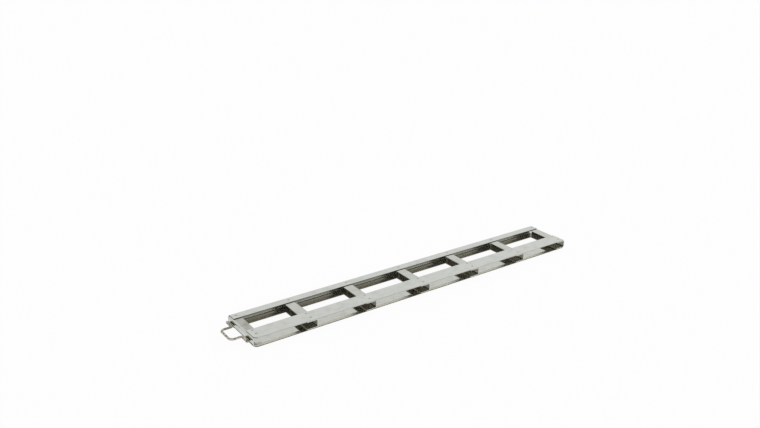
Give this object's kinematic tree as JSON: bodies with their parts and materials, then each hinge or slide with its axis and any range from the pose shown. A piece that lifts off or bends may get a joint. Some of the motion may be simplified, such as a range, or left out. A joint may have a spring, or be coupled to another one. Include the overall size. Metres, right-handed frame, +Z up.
{
  "type": "blood bag canister frame",
  "caption": "Long flat stainless sheet frame with a row of open-fronted bays for flat freezer canisters and a swinging wire bail at one end.",
  "frame": {"origin": "centre of the bounding box's bottom face, bail included", "axes": "+X along the frame away from the bail, +Y from the open front to the closed back, +Z up through the frame's thickness as it lies"},
  "size_m": [0.729, 0.0942, 0.017],
  "materials": {
    "sheet": "bright cold-rolled stainless sheet, faint rolling grain",
    "clip_strip": "rolled stainless strip",
    "wire": "drawn stainless wire"
  },
  "bodies": {
    "frame": {"back_rail": "sheet", "front_rail_top": "sheet", "front_rail_bottom": "sheet", "cross_member_1": "sheet", "cross_member_2": "sheet", "cross_member_3": "sheet", "cross_member_4": "sheet", "cross_member_5": "sheet", "end_member": "sheet", "end_cap": "sheet", "hinge_clip_front": "clip_strip", "hinge_clip_back": "clip_strip"},
    "bail": {"bail": "wire"}
  },
  "joints": [
    {"name": "bail_swing", "type": "hinge", "parent": "frame", "child": "bail", "pos_m": [-0.3417, 0.0016, 0.0085], "axis": [0, 1, 0], "range_deg": [-115, 115]}
  ]
}
